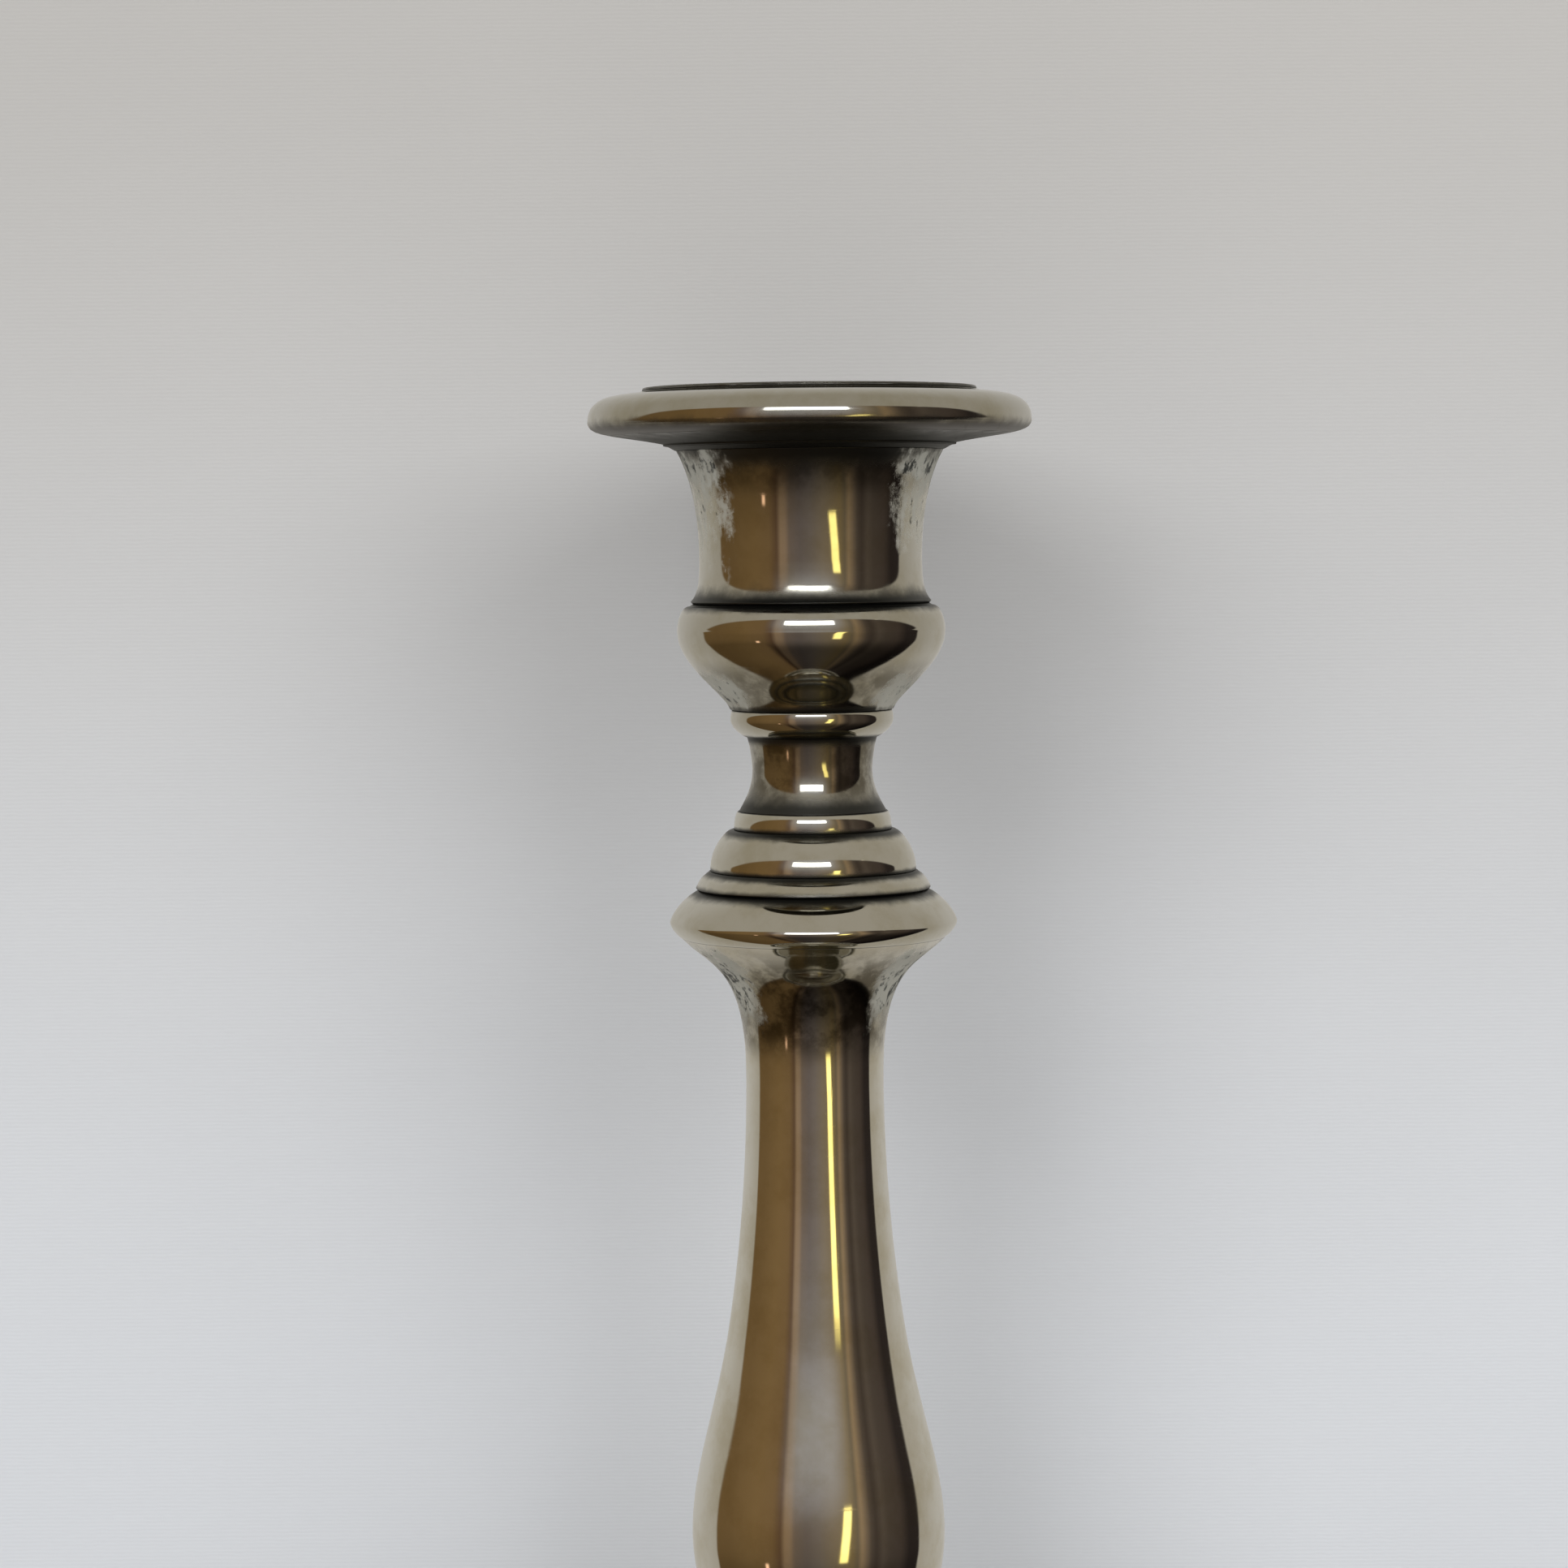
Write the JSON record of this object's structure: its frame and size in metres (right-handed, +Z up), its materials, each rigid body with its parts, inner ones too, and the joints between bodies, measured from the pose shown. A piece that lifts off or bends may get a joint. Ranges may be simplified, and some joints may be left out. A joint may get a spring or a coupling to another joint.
{
  "type": "candlestick",
  "caption": "Round loaded silver candlestick with a flared cup, a turned and swelling stem, a domed foot and a lift-off drip-pan nozzle that holds a candle.",
  "frame": {"origin": "on the table, under the middle of the foot", "axes": "+Z up along the stem; the object is round about Z, so +X and +Y are free"},
  "size_m": [0.108, 0.108, 0.2292],
  "materials": {
    "nozzle_silver": "hand-polished silver, warm mirror with fine scratches",
    "dull_silver": "silver darkened by tarnish",
    "liner_silver": "silver, polished on its edge and dull inside",
    "cup_silver": "polished silver with chalky polish residue at the joints",
    "cast_silver": "turned silver rings, dark in the grooves",
    "stem_silver": "polished silver, dark in the grooves",
    "foot_silver": "polished silver",
    "iron_wire": "drawn iron wire",
    "pitch": "dark cast pitch",
    "steel": "turned steel",
    "plate_steel": "turned steel plate",
    "brass": "machined brass",
    "felt": "short-pile green felt"
  },
  "bodies": {
    "root": {"cup_liner": "liner_silver", "cup_shell": "cup_silver", "cup_bulb": "cup_silver", "collar_ring": "cast_silver", "waist_spool": "stem_silver", "bead_ring": "cast_silver", "cushion_ring": "stem_silver", "fillet_ring": "cast_silver", "knop": "stem_silver", "stem_shell": "stem_silver", "foot_ring": "cast_silver", "lower_spool": "stem_silver", "lower_knop": "stem_silver", "foot_neck": "foot_silver", "foot_dome": "foot_silver", "foot_step": "foot_silver", "foot_rim": "foot_silver", "stem_filler": "pitch", "base_filler": "pitch", "tie_rod": "steel", "top_nut": "brass", "top_washer": "steel", "bottom_nut": "brass", "bottom_washer": "steel", "base_plate": "plate_steel", "felt_pad": "felt"},
    "nozzle": {"nozzle_pan": "nozzle_silver", "nozzle_under_plate": "dull_silver", "nozzle_rim_wire": "iron_wire", "nozzle_top_ring": "dull_silver", "nozzle_sleeve": "nozzle_silver"}
  },
  "joints": [
    {"name": "nozzle_lift", "type": "slide", "parent": "root", "child": "nozzle", "axis": [0, 0, 1], "range_m": [0, 0.03]}
  ]
}
